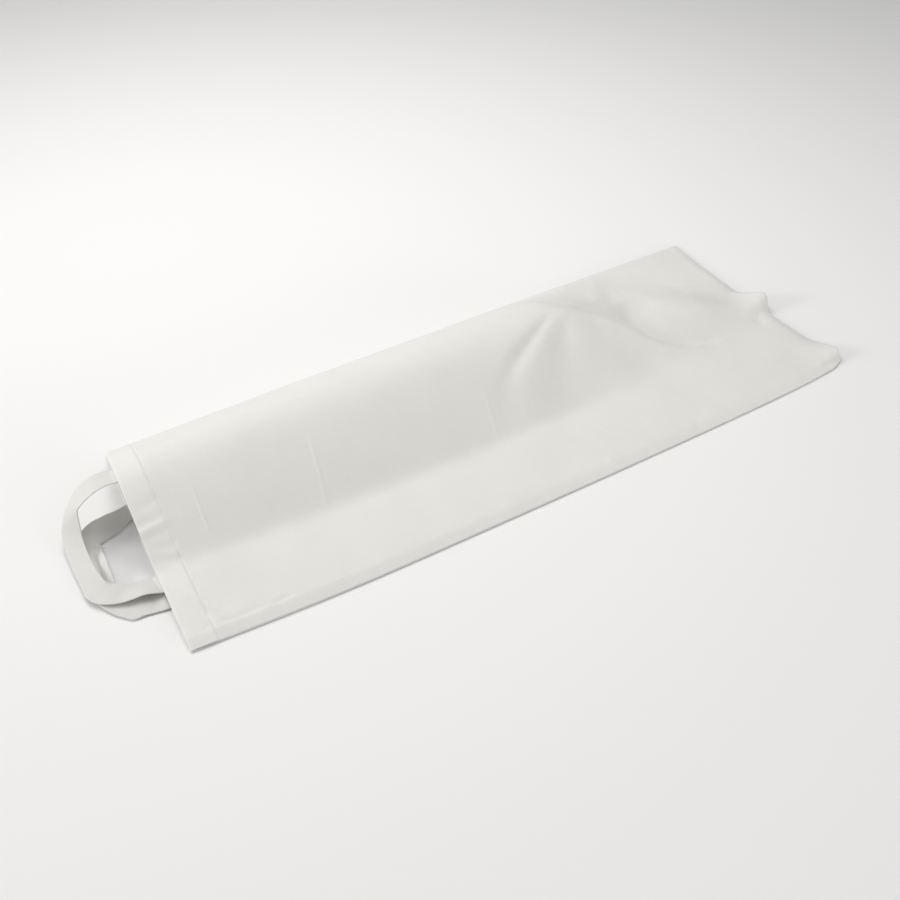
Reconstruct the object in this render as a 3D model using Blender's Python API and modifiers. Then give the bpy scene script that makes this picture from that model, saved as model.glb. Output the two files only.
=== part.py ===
"""Linen bread bag, lying empty on a table in the shape that a long loaf has given it.

A long flat bag of plain linen: an upper and a lower panel, sewn together down both long sides and
across the bottom, open at the hemmed mouth, with a flat tape handle on each panel. The upper panel
stands up as a hollow ridge over the bread space, and falls in folds to the bottom seam. The lower
panel lies on the table.

Metres, +Z up, table at z = 0. +X runs from the mouth to the bottom seam and +Y from the near side
seam to the far one. The origin is the middle of the bag's footprint. The tables below measure from
the near corner of the mouth: along the bag, across it, and up from the table.
"""

import math
from collections import namedtuple

import bmesh
import bpy

LENGTH = 0.709  # from the mouth to the bottom seam
WIDTH = 0.252  # from seam to seam
CLOTH = 0.0012  # one panel's thickness
TAPE = 0.0014  # a handle's thickness
TAPE_WIDTH = 0.0205
GAP = 0.0003  # between sheets that lie on each other

LOFT = 0.0026  # how far the upper panel stands off the lower one away from the seams
SEAM_ROLL = 0.0064  # how far from a seam the upper panel has come up most of the way
FOLDS_START = 0.022  # how far from a seam the ridge and the folds have their full height
RIDGE_FADE = 0.05  # the last stretch before the bottom seam, where the ridge dies away
SOFT_FOOT = 0.0025  # rounding where a slope meets the flat cloth
UNDER_PANEL = 0.0026  # from the middle of the upper panel down to the middle of a tape under it
OVER_PANEL = CLOTH / 2 + GAP + TAPE / 2
TAPE_LEAVES = (-0.005, 0.003)  # between these places along the bag a tape leaves its panel
BUMP_REACH = 0.055  # how far into the bag a lifted stretch of the bottom seam lifts the lower panel
SLOPE_STEP = 0.005  # over which a slope is measured
SHARP_ANGLE = 50  # degrees

LINEN = (0.71, 0.69, 0.64, 1.0)

# The hollow ridge, and the pleat that runs on from it to the bottom seam. Each row is one cross
# section: its crest's place and height over the flat cloth, the reach of its two slopes, and how
# round the crest is.
Section = namedtuple("Section", "along crest height near far round")
SECTIONS = (
    Section(0.000, 0.157, 0.048, 0.076, 0.093, 0.022),
    Section(0.100, 0.156, 0.054, 0.080, 0.096, 0.024),
    Section(0.250, 0.152, 0.059, 0.084, 0.102, 0.026),
    Section(0.380, 0.152, 0.058, 0.086, 0.103, 0.024),
    Section(0.450, 0.154, 0.052, 0.088, 0.102, 0.018),
    Section(0.490, 0.146, 0.036, 0.082, 0.108, 0.014),
    Section(0.530, 0.138, 0.025, 0.062, 0.104, 0.016),
    Section(0.620, 0.122, 0.018, 0.040, 0.072, 0.014),
    Section(0.709, 0.106, 0.015, 0.018, 0.036, 0.003),
)

# The folds that fan out from the end of the ridge, and where the handles' ends lift the upper panel.
# Each fold runs through its points, as a soft ridge or, below zero, a trough.
Fold = namedtuple("Fold", "along across height width")
FOLDS = {
    "first trough": (
        Fold(0.436, 0.150, -0.001, 0.007),
        Fold(0.410, 0.136, -0.005, 0.009),
        Fold(0.375, 0.115, -0.004, 0.012),
        Fold(0.340, 0.085, -0.001, 0.014),
    ),
    "first ridge": (
        Fold(0.450, 0.151, 0.001, 0.008),
        Fold(0.425, 0.130, 0.004, 0.010),
        Fold(0.380, 0.090, 0.004, 0.014),
        Fold(0.360, 0.065, 0.001, 0.014),
    ),
    "second trough": (
        Fold(0.457, 0.142, -0.001, 0.008),
        Fold(0.440, 0.120, -0.005, 0.010),
        Fold(0.400, 0.078, -0.004, 0.013),
        Fold(0.385, 0.060, -0.001, 0.013),
    ),
    "edge beyond the end": (
        Fold(0.466, 0.158, 0.000, 0.008),
        Fold(0.500, 0.138, 0.004, 0.010),
        Fold(0.535, 0.115, 0.006, 0.012),
        Fold(0.560, 0.096, 0.005, 0.012),
        Fold(0.600, 0.080, 0.002, 0.014),
    ),
    "hollow beyond the end": (
        Fold(0.492, 0.160, -0.002, 0.012),
        Fold(0.512, 0.146, -0.006, 0.010),
        Fold(0.545, 0.122, -0.005, 0.008),
        Fold(0.580, 0.100, -0.003, 0.009),
        Fold(0.610, 0.092, -0.001, 0.010),
    ),
    "over the handles": (
        Fold(-0.010, 0.064, 0.0026, 0.024),
        Fold(0.030, 0.066, 0.0022, 0.022),
    ),
}

# Where the bottom seam leaves the table: under the end of the pleat, and at the near corner.
Lift = namedtuple("Lift", "across height")
SEAM_LIFTS = (
    Lift(-0.010, 0.000),
    Lift(0.002, 0.009),
    Lift(0.014, 0.005),
    Lift(0.035, 0.000),
    Lift(0.090, 0.000),
    Lift(0.106, 0.017),
    Lift(0.123, 0.008),
    Lift(0.140, 0.000),
    Lift(0.260, 0.000),
)

# The bag's outline on the table: the two long edges, which aren't quite straight.
Edge = namedtuple("Edge", "along near far")
EDGES = (
    Edge(0.000, 0.000, 0.250),
    Edge(0.125, -0.009, 0.2525),
    Edge(0.252, -0.013, 0.2545),
    Edge(0.450, -0.017, 0.2565),
    Edge(0.610, -0.018, 0.2560),
    Edge(0.690, -0.015, 0.2555),
    Edge(0.709, -0.010, 0.2550),
)
MOUTH_SKEW = 0.005  # the mouth's far corner lies this far along the bag from its near one
BOTTOM_SKEW = 0.006

# The handles, from one sewn end round to the other: the tape's middle, which way its outer edge
# points, and how far that edge hangs down (degrees).
Station = namedtuple("Station", "along across up heading tilt")
FRONT_HANDLE = (
    Station(0.0230, 0.1590, 0.0490, 90, 8),
    Station(0.0100, 0.1600, 0.0490, 90, 8),
    Station(0.0000, 0.1615, 0.0490, 90, 8),
    Station(-0.0090, 0.1640, 0.0488, 90, 6),
    Station(-0.0190, 0.1645, 0.0470, 91, 2),
    Station(-0.0295, 0.1645, 0.0420, 96, 5),
    Station(-0.0365, 0.1645, 0.0360, 104, 14),
    Station(-0.0415, 0.1635, 0.0305, 116, 26),
    Station(-0.0450, 0.1610, 0.0240, 129, 27),
    Station(-0.0475, 0.1575, 0.0175, 136, 19),
    Station(-0.0495, 0.1520, 0.0118, 139, 12),
    Station(-0.0505, 0.1420, 0.0074, 143, 9),
    Station(-0.0502, 0.1270, 0.0054, 146, 12),
    Station(-0.0490, 0.1110, 0.0050, 151, 12),
    Station(-0.0470, 0.0980, 0.0046, 162, 10),
    Station(-0.0450, 0.0892, 0.0050, 202, 4),
    Station(-0.0393, 0.0827, 0.0050, 232, 0),
    Station(-0.0310, 0.0785, 0.0048, 254, -1),
    Station(-0.0225, 0.0755, 0.0050, 258, -3),
    Station(-0.0140, 0.0735, 0.0052, 262, -6),
    Station(-0.0065, 0.0715, 0.0050, 268, -5),
    Station(0.0000, 0.0705, 0.0046, 270, -1),
    Station(0.0110, 0.0700, 0.0044, 270, 0),
    Station(0.0230, 0.0700, 0.0044, 270, 0),
)
BACK_HANDLE = (
    Station(0.0230, 0.0560, 0.0022, 270, 0),
    Station(0.0110, 0.0560, 0.0022, 270, 0),
    Station(0.0000, 0.0565, 0.0020, 270, 0),
    Station(-0.0100, 0.0585, 0.0009, 268, 0),
    Station(-0.0190, 0.0605, 0.0009, 264, 0),
    Station(-0.0265, 0.0610, 0.0010, 256, 0),
    Station(-0.0305, 0.0665, 0.0012, 236, 0),
    Station(-0.0350, 0.0730, 0.0014, 214, 0),
    Station(-0.0385, 0.0800, 0.0016, 196, 1),
    Station(-0.0415, 0.0905, 0.0017, 183, 2),
    Station(-0.0412, 0.1040, 0.0028, 180, 9),
    Station(-0.0410, 0.1180, 0.0036, 180, 14),
    Station(-0.0415, 0.1300, 0.0026, 178, 6),
    Station(-0.0405, 0.1395, 0.0028, 164, -6),
    Station(-0.0375, 0.1470, 0.0050, 130, -20),
    Station(-0.0315, 0.1505, 0.0070, 100, -36),
    Station(-0.0230, 0.1530, 0.0066, 88, -32),
    Station(-0.0135, 0.1570, 0.0046, 86, -18),
    Station(-0.0060, 0.1620, 0.0028, 88, -6),
    Station(0.0000, 0.1650, 0.0022, 90, 0),
    Station(0.0110, 0.1665, 0.0022, 90, 0),
    Station(0.0230, 0.1670, 0.0022, 90, 0),
)

UPPER_GRID = (60, 26)  # faces along and across
SHARED_COLUMNS = 12  # the lower panel has the upper one's columns next to the bottom seam
LOWER_GRID = (12 + SHARED_COLUMNS, 26)
TAPE_GRID = (52, 3)


def smooth_row(table, place):
    """Every column of a table at a place along its first one, on a smooth curve through the rows."""
    last = len(table) - 1
    place = min(max(place, table[0][0]), table[last][0])
    i = max(k for k in range(last) if table[k][0] <= place)
    before, start, end, after = (table[min(max(k, 0), last)] for k in (i - 1, i, i + 1, i + 2))
    span = end[0] - start[0]
    t = (place - start[0]) / span
    columns = []
    for c in range(1, len(start)):
        leave = (end[c] - before[c]) / (end[0] - before[0]) * span
        arrive = (after[c] - start[c]) / (after[0] - start[0]) * span
        rise = end[c] - start[c]
        columns.append(
            start[c]
            + leave * t
            + (3 * rise - 2 * leave - arrive) * t**2
            + (leave + arrive - 2 * rise) * t**3
        )
    return columns


def ease(x):
    """0 below 0, 1 above 1, and a smooth step between."""
    x = min(max(x, 0.0), 1.0)
    return x * x * (3 - 2 * x)


def on_table(along, across):
    """World X and Y of a place on the flat bag."""
    skew = MOUTH_SKEW + (BOTTOM_SKEW - MOUTH_SKEW) * along / LENGTH
    return along + skew * (across / WIDTH) ** 3 - LENGTH / 2, across - WIDTH / 2


def seam_lift(along, across):
    """Height of the lower panel over the table: it only lifts near the bottom seam."""
    inward = min(max((LENGTH - along) / BUMP_REACH, 0.0), 1.0)
    (height,) = smooth_row(SEAM_LIFTS, across)
    return max(height, 0.0) * (1 - inward) ** 2


def lower_height(along, across):
    """Middle of the lower panel, over the table."""
    return CLOTH / 2 + seam_lift(along, across)


def stack_height(along, across):
    """Middle of a sheet that lies on the lower panel: further up where the panels are steep."""
    here = seam_lift(along, across)
    beside = (seam_lift(along, across + SLOPE_STEP), seam_lift(along, across - SLOPE_STEP))
    slope_across = max(abs(lift - here) for lift in beside) / SLOPE_STEP
    slope_along = (seam_lift(along - SLOPE_STEP, across) - here) / SLOPE_STEP
    steep = math.hypot(1.0, slope_along, slope_across)
    return lower_height(along, across) + (CLOTH + GAP) * steep


def fold_height(fold, along, across):
    """What one fold adds at a place: full on its line, and gone a few widths away."""
    nearest = math.inf
    for start, end in zip(fold, fold[1:]):
        run_x, run_y = end.along - start.along, end.across - start.across
        off_x, off_y = along - start.along, across - start.across
        t = min(max((off_x * run_x + off_y * run_y) / (run_x**2 + run_y**2), 0.0), 1.0)
        away = math.hypot(off_x - t * run_x, off_y - t * run_y)
        if away < nearest:
            nearest = away
            height = start.height + (end.height - start.height) * t
            width = start.width + (end.width - start.width) * t
    return height * math.exp(-((nearest / width) ** 2))


def ridge_height(along, across):
    """The ridge and its pleat over the flat cloth, below zero past the foot of either slope."""
    crest, height, near, far, roundness = smooth_row(SECTIONS, along)
    reach = near if across < crest else far
    out = abs(across - crest) / reach
    tip = roundness / reach
    fall = (math.hypot(out, tip) - tip) / (math.hypot(1.0, tip) - tip)
    return height * (1 - fall)


def upper_height(along, across):
    """Middle of the upper panel, over the table."""
    near, far = smooth_row(EDGES, along)
    to_seam = max(min(across - near, far - across, LENGTH - along), 0.0)
    loft = LOFT * (1 - math.exp(-((to_seam / SEAM_ROLL) ** 2)))
    ridge = SOFT_FOOT * math.log1p(math.exp(ridge_height(along, across) / SOFT_FOOT))
    ridge *= ease((LENGTH - along) / RIDGE_FADE)
    folds = sum(fold_height(fold, along, across) for fold in FOLDS.values())
    return stack_height(along, across) + loft + (ridge + folds) * ease(to_seam / FOLDS_START)


def on_bag(s, t):
    """How far along and across the bag a share of its length and a share of its width lie."""
    near, far = smooth_row(EDGES, s * LENGTH)
    return s * LENGTH, near + (far - near) * t


def upper_point(s, t):
    place = on_bag(s, t)
    return (*on_table(*place), upper_height(*place))


def lower_point(s, t):
    wide_columns = LOWER_GRID[0] - SHARED_COLUMNS
    shared = SHARED_COLUMNS / UPPER_GRID[0]
    column = s * LOWER_GRID[0]
    if column < wide_columns:
        s = (1 - shared) * column / wide_columns
    else:
        s = 1 - shared + (column - wide_columns) / UPPER_GRID[0]
    place = on_bag(s, t)
    return (*on_table(*place), lower_height(*place))


def tape_point(stations, sewn_height, s, t):
    """A point of a handle: on its stations outside the bag, and against its panel inside."""
    rows = [(i, *station) for i, station in enumerate(stations)]
    along, across, up, heading, tilt = smooth_row(rows, s * (len(rows) - 1))
    heading, tilt = math.radians(heading), math.radians(tilt)
    out = (t - 0.5) * TAPE_WIDTH
    along += out * math.cos(tilt) * math.cos(heading)
    across += out * math.cos(tilt) * math.sin(heading)
    up -= out * math.sin(tilt)
    inside = ease((along - TAPE_LEAVES[0]) / (TAPE_LEAVES[1] - TAPE_LEAVES[0]))
    up += (sewn_height(along, across) - up) * inside
    return (*on_table(along, across), up)


def under_upper(along, across):
    return upper_height(max(along, 0.0), across) - UNDER_PANEL


def over_lower(along, across):
    return lower_height(max(along, 0.0), across) + OVER_PANEL


def linen(name):
    material = bpy.data.materials.new(name)
    material.use_nodes = True
    shader = material.node_tree.nodes["Principled BSDF"]
    shader.inputs["Base Color"].default_value = LINEN
    shader.inputs["Roughness"].default_value = 0.9
    shader.inputs["Metallic"].default_value = 0.0
    return material


def sheet(name, segments, thickness, point, collection):
    """A grid of cloth laid on a surface, given its thickness half above and half below it."""
    bm = bmesh.new()
    bmesh.ops.create_grid(bm, x_segments=segments[0], y_segments=segments[1], size=0.5)
    for vert in bm.verts:
        vert.co = point(vert.co.x + 0.5, vert.co.y + 0.5)
    mesh = bpy.data.meshes.new(name)
    bm.to_mesh(mesh)
    bm.free()
    mesh.shade_smooth()
    mesh.set_sharp_from_angle(angle=math.radians(SHARP_ANGLE))
    mesh.materials.append(linen(name))
    cloth = bpy.data.objects.new(name, mesh)
    collection.objects.link(cloth)
    solid = cloth.modifiers.new("Thickness", "SOLIDIFY")
    solid.thickness = thickness
    solid.offset = 0.0
    solid.use_even_offset = True
    return cloth


for old in list(bpy.data.objects):
    bpy.data.objects.remove(old, do_unlink=True)

bag = bpy.data.collections.new("linen_bread_bag")
bpy.context.scene.collection.children.link(bag)

sheet("bag_back", LOWER_GRID, CLOTH, lower_point, bag)
sheet("bag_front", UPPER_GRID, CLOTH, upper_point, bag)
sheet("handle_back", TAPE_GRID, TAPE, lambda s, t: tape_point(BACK_HANDLE, over_lower, s, t), bag)
sheet("handle_front", TAPE_GRID, TAPE, lambda s, t: tape_point(FRONT_HANDLE, under_upper, s, t), bag)
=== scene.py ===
"""Linen bread bag, lying empty on a table with the hollow ridge that a long loaf has left in it.

Metres, +Z up, table at z = 0. +X runs from the mouth to the bottom seam and +Y from the near long
seam to the far one. Places on the bag are measured from the near corner of its mouth: along it,
across it, and up from the table.
"""

import math
from collections import namedtuple

import bmesh
import bpy
import numpy as np
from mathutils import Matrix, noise


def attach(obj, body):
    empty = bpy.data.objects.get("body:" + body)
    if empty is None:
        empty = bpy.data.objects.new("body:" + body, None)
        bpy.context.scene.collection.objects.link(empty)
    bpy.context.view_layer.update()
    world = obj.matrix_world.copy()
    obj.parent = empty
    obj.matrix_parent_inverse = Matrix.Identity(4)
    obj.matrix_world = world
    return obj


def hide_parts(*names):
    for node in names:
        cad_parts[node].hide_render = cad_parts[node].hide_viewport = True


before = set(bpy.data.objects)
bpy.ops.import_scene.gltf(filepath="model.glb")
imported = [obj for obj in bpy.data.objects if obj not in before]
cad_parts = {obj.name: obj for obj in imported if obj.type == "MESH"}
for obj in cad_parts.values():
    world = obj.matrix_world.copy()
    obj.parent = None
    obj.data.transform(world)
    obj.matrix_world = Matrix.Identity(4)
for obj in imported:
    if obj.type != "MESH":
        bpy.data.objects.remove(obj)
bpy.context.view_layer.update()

# ---------------------------------------------------------------------------------------------
# The table the bag lies on, and the room: a matt white top with one soft box over the bag, one far
# off behind its mouth and a low one in front. The camera looks down over the mouth's near corner.

TABLE_SIZE = 6.0
TABLE_HEIGHT = -0.0003  # just under the cloth
TABLE_WHITE = (0.87, 0.87, 0.87, 1.0)
ROOM_WHITE = (1.0, 1.0, 1.0, 1.0)
ROOM_STRENGTH = 0.39
LAMP_WHITE = (1.0, 0.985, 0.96)
SoftBox = namedtuple("SoftBox", "name place size power")
SOFT_BOXES = (
    SoftBox("overhead_soft_box", (-0.12, 0.55, 1.35), (1.0, 1.0), 13.0),
    SoftBox("left_soft_box", (-3.55, 0.85, 1.1), (1.6, 1.0), 60),
    SoftBox("front_soft_box", (0.72, -2.0, 0.35), (1.0, 0.6), 12.5),
)

top = bmesh.new()
bmesh.ops.create_grid(top, x_segments=1, y_segments=1, size=TABLE_SIZE / 2)
bmesh.ops.translate(top, vec=(0, 0, TABLE_HEIGHT), verts=top.verts)
table_mesh = bpy.data.meshes.new("table_top")
top.to_mesh(table_mesh)
top.free()
table_top = bpy.data.objects.new("table_top", table_mesh)
bpy.context.collection.objects.link(table_top)
table_paint = bpy.data.materials.new("table_paint")
table_paint.use_nodes = True
paint = table_paint.node_tree.nodes["Principled BSDF"]
paint.inputs["Base Color"].default_value = TABLE_WHITE
paint.inputs["Roughness"].default_value = 0.85
paint.inputs["Specular IOR Level"].default_value = 0.2
table_mesh.materials.append(table_paint)

room = bpy.data.worlds.new("pale_room")
room.use_nodes = True
surround = room.node_tree.nodes["Background"]
surround.inputs["Color"].default_value = ROOM_WHITE
surround.inputs["Strength"].default_value = ROOM_STRENGTH
bpy.context.scene.world = room

for box in SOFT_BOXES:
    lamp = bpy.data.lights.new(box.name, "AREA")
    lamp.shape = "RECTANGLE"
    lamp.size, lamp.size_y = box.size
    lamp.energy = box.power
    lamp.color = LAMP_WHITE
    holder = bpy.data.objects.new(box.name, lamp)
    holder.location = box.place
    holder.rotation_euler = (holder.location * -1).to_track_quat("-Z", "Y").to_euler()
    bpy.context.collection.objects.link(holder)

lens = bpy.data.cameras.new("camera")
lens.lens = 35.12
lens.sensor_width = 36.0
camera = bpy.data.objects.new("camera", lens)
camera.location = (-0.3824, -0.5507, 0.5736)
camera.rotation_euler = (math.radians(46.3), 0.0, math.radians(-31.28))
bpy.context.collection.objects.link(camera)
bpy.context.scene.camera = camera
bpy.context.scene.view_settings.view_transform = "Standard"

# ---------------------------------------------------------------------------------------------
# The lower panel: one piece of undyed linen in plain weave, flat on the table but for the two
# places where the bottom seam stands up. Its mouth is hemmed and its long edges are turned in.

LENGTH = 0.709
WIDTH = 0.252
SHEET = 0.0006  # one thickness of cloth
LAYER = 0.00065  # from one layer of a seam or hem to the next
HEM = 0.0215
TURNED_IN = 0.009  # seam allowance inside the long seams
BUMP_REACH = 0.055  # how far into the bag a lifted stretch of the bottom seam lifts the cloth
SLOPE_STEP = 0.004  # how far to either side a slope is measured
FLAP_START = (0.002, 0.004)  # a turned-in edge starts this far past the hem, and widens over this
FLAP_END = 0.02  # how far before the bottom seam it starts to taper off
HEM_TUCK = 0.002  # how far in the hem's inner layer is narrowed
HEM_NARROWER = 0.012  # the share by which it is narrower, to lie between the side seams
CORNER_CUT = 1.3  # how many turns of cloth round a corner are kept, and the rest is cut away
TURN_STEPS = 4  # strips of mesh in the turn of an edge, and in a hem and a seam allowance
HEM_STEPS = 6
FLAP_STEPS = 3
LOWER_COLUMNS = 120

# Where the two long seams lie.
Edge = namedtuple("Edge", "along near far")
EDGES = (
    Edge(0.000, 0.000, 0.250),
    Edge(0.125, -0.009, 0.2525),
    Edge(0.252, -0.013, 0.2545),
    Edge(0.450, -0.017, 0.2565),
    Edge(0.610, -0.018, 0.2560),
    Edge(0.690, -0.015, 0.2555),
    Edge(0.709, -0.010, 0.2550),
)
MOUTH_SKEW = 0.005
BOTTOM_SKEW = 0.006
CORNER_SET_BACK = 0.004  # the near corner of the bottom seam is pulled in this far
CORNER_START = 0.003  # across the bag
CORNER_REACH = (0.012, 0.030)  # across and along the bag

# The bottom seam is drawn in a little, least where it stands up.
DrawnIn = namedtuple("DrawnIn", "across amount")
SEAM_DRAWN_IN = (
    DrawnIn(-0.020, 0.0000),
    DrawnIn(0.010, 0.0010),
    DrawnIn(0.040, 0.0038),
    DrawnIn(0.085, 0.0042),
    DrawnIn(0.106, 0.0020),
    DrawnIn(0.135, 0.0050),
    DrawnIn(0.170, 0.0048),
    DrawnIn(0.260, 0.0018),
)
DRAWN_IN_REACH = 0.10

# It stands up at its near corner, and in a steeper point where the pleat runs out.
Lift = namedtuple("Lift", "across height")
SEAM_LIFTS = (
    Lift(-0.0095, 0.0000),
    Lift(-0.0060, 0.0055),
    Lift(-0.0020, 0.0087),
    Lift(0.0040, 0.0080),
    Lift(0.014, 0.0046),
    Lift(0.028, 0.0008),
    Lift(0.036, 0.0000),
    Lift(0.090, 0.0000),
    Lift(0.094, 0.0035),
    Lift(0.101, 0.0140),
    Lift(0.1045, 0.0172),
    Lift(0.1080, 0.0172),
    Lift(0.115, 0.0133),
    Lift(0.130, 0.0048),
    Lift(0.1355, 0.0020),
    Lift(0.139, 0.0003),
    Lift(0.142, 0.0000),
    Lift(0.260, 0.0000),
)


def smooth_row(table, place):
    """Every column of a table at places along its first one, on smooth curves through the rows."""
    rows = np.array(table)
    keys = rows[:, 0]
    last = len(keys) - 1
    place = np.clip(place, keys[0], keys[last])
    i = np.clip(np.searchsorted(keys, place, side="right") - 1, 0, last - 1)
    before, start = rows[np.maximum(i - 1, 0)], rows[i]
    end, after = rows[i + 1], rows[np.minimum(i + 2, last)]
    span = (end - start)[..., :1]
    t = (place[..., None] - start[..., :1]) / span
    leave = (end - before) / (end - before)[..., :1] * span
    arrive = (after - start) / (after - start)[..., :1] * span
    rise = end - start
    curve = start + leave * t
    curve = curve + (3 * rise - 2 * leave - arrive) * t**2
    curve = curve + (leave + arrive - 2 * rise) * t**3
    return [curve[..., c] for c in range(1, rows.shape[1])]


def ease(x):
    """0 below 0, 1 above 1, and a smooth step between."""
    x = np.clip(x, 0.0, 1.0)
    return x * x * (3 - 2 * x)


def on_table(along, across):
    """World X and Y of a place on the flat bag."""
    skew = MOUTH_SKEW + (BOTTOM_SKEW - MOUTH_SKEW) * along / LENGTH
    in_corner = ease((CORNER_START - across) / CORNER_REACH[0])
    in_corner = in_corner * ease((along - LENGTH + CORNER_REACH[1]) / CORNER_REACH[1])
    (drawn_in,) = smooth_row(SEAM_DRAWN_IN, across)
    drawn_in = drawn_in * ease((along - LENGTH + DRAWN_IN_REACH) / DRAWN_IN_REACH)
    x = along + skew * (across / WIDTH) ** 3 - CORNER_SET_BACK * in_corner - drawn_in
    return x - LENGTH / 2, across - WIDTH / 2


def seam_lift(along, across):
    """Height of the lower panel over the table: it only lifts near the bottom seam."""
    inward = np.clip((LENGTH - along) / BUMP_REACH, 0.0, 1.0)
    (height,) = smooth_row(SEAM_LIFTS, across)
    return np.maximum(height, 0.0) * (1 - inward) ** 2


def lower_middle(along, across):
    """Middle of the lower panel's thickness, over the table."""
    return SHEET / 2 + seam_lift(along, across)


def steepness(height, along, across):
    """How much further up one layer lies over another on a slope than on the flat."""
    rise_along = height(along + SLOPE_STEP, across) - height(along - SLOPE_STEP, across)
    rise_across = height(along, across + SLOPE_STEP) - height(along, across - SLOPE_STEP)
    return np.hypot(1.0, np.hypot(rise_along, rise_across) / (2 * SLOPE_STEP))


def panel(name, middle, side, rows, columns, material):
    """One panel with its mouth hemmed and its long edges turned in. middle gives its height, and
    side is 1 for the upper panel, whose turned-in layers lie under it, or -1 for the lower one.
    rows are places along it, and columns are shares of its width."""
    turn = LAYER / 2 * math.pi
    arc = [turn * k / TURN_STEPS for k in range(1, TURN_STEPS + 1)]
    hem = [-(turn + HEM * k / HEM_STEPS) for k in range(HEM_STEPS, 0, -1)]
    rows = np.array(hem + [-a for a in reversed(arc)] + rows + [LENGTH + a for a in arc])
    inner = [turn + TURNED_IN * k / FLAP_STEPS for k in range(FLAP_STEPS, 0, -1)] + arc[::-1]
    low, high = np.array([-a for a in inner]), np.array(inner[::-1])

    along = np.repeat(rows[:, None], len(low) + len(columns) + len(high), axis=1)
    near, far = smooth_row(EDGES, np.clip(rows, 0.0, LENGTH))
    wide = near[:, None] + (far - near)[:, None] * np.array(columns)[None, :]
    across = np.hstack([near[:, None] + low, wide, far[:, None] + high])

    kept_along = np.clip(along, 0.0, LENGTH)
    kept_across = np.clip(across, near[:, None], far[:, None])
    over_along, over_across = along - kept_along, across - kept_across
    over = np.hypot(over_along, over_across)
    safe = np.maximum(over, 1e-9)
    angle = np.minimum(over / (LAYER / 2), math.pi)
    flap = np.maximum(over - turn, 0.0)
    # the side flaps are only there past the hem, and taper off before the bottom seam
    whole = ease((kept_along - HEM - FLAP_START[0]) / FLAP_START[1])
    whole = whole * ease((LENGTH - kept_along) / FLAP_END)
    flap = np.where(np.abs(over_across) > 0, flap * whole, flap)
    out = LAYER / 2 * np.sin(angle) - flap
    moved_along = kept_along + over_along / safe * out
    moved_across = kept_across + over_across / safe * out
    # the hem's inner layer stops short of the side seams
    under = (over_along < 0) * ease(-over_along / HEM_TUCK)
    middle_of_bag = (near + far)[:, None] / 2
    moved_across = middle_of_bag + (moved_across - middle_of_bag) * (1 - HEM_NARROWER * under)

    clip_along = np.clip(moved_along, 0.0, LENGTH)
    clip_across = np.clip(moved_across, near[:, None], far[:, None])
    drop = LAYER / 2 * (1 - np.cos(angle)) * steepness(middle, clip_along, clip_across)
    up = middle(clip_along, clip_across) - side * drop
    x, y = on_table(moved_along, moved_across)
    points = np.stack([x, y, up], axis=-1)

    # flat cloth coordinates in metres, for the weave
    step = np.linalg.norm(np.diff(points, axis=1), axis=2)
    flat_across = np.hstack([np.zeros((len(rows), 1)), np.cumsum(step, axis=1)])
    flat_across -= flat_across[:, len(low)][:, None]

    mesh = bpy.data.meshes.new(name)
    bm = bmesh.new()
    verts = [[bm.verts.new(p) for p in row] for row in points]
    flat = bm.loops.layers.uv.new("flat_cloth")
    corner_reach = CORNER_CUT * turn
    for i in range(len(rows) - 1):
        for j in range(points.shape[1] - 1):
            square = ((i, j), (i + 1, j), (i + 1, j + 1), (i, j + 1))
            deepest = max(min(abs(over_along[a, b]), abs(over_across[a, b])) for a, b in square)
            if deepest > 0 and max(over[a, b] for a, b in square) > corner_reach:
                continue
            face = bm.faces.new([verts[a][b] for a, b in square])
            face.smooth = True
            for loop, (a, b) in zip(face.loops, square):
                loop[flat].uv = (rows[a], flat_across[a, b])
    loose = [v for v in bm.verts if not v.link_faces]
    bmesh.ops.delete(bm, geom=loose, context="VERTS")
    bm.to_mesh(mesh)
    bm.free()
    mesh.materials.append(material)
    cloth = bpy.data.objects.new(name, mesh)
    bpy.context.collection.objects.link(cloth)
    solid = cloth.modifiers.new("cloth_thickness", "SOLIDIFY")
    solid.thickness = SHEET
    solid.offset = 0.0
    return cloth


def spaced(*stretches):
    """Places from the first stretch's start to the last one's end, each at its own spacing."""
    places = []
    for start, end, spacing in stretches:
        count = round((end - start) / spacing)
        places += [start + (end - start) * k / count for k in range(count)]
    return places + [stretches[-1][1]]


def math_node(tree, operation, *inputs):
    """The output of a Math node fed with sockets or numbers."""
    node = tree.nodes.new("ShaderNodeMath")
    node.operation = operation
    for socket, value in zip(node.inputs, inputs):
        if isinstance(value, bpy.types.NodeSocket):
            tree.links.new(value, socket)
        else:
            socket.default_value = value
    return node.outputs[0]


THREAD_ROUND = -3.4  # how fast a thread falls away across itself
THREAD_ARCH = -1.8  # and along itself, to where it goes under
SLUBS_ALONG = (38.0, 45.0)  # slubs a metre along the length of the bag and across it
SLUBS_ABREAST = 1000.0  # and a metre side by side
SLUB_SLICES = (3.0, 11.0)  # two unlike slices of the same noise
SLUB_RISE = 1.6
PATCH_SCALE = 22.0
PATCH_SHADE = 0.25
GAP_LEVEL = 0.7  # below this the weave is painted darker in its gaps, and above it lighter on the thread tops
# how strongly the weave's height paints shade into its gaps
GAP_PAINTED_SHADE = 0.15


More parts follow.
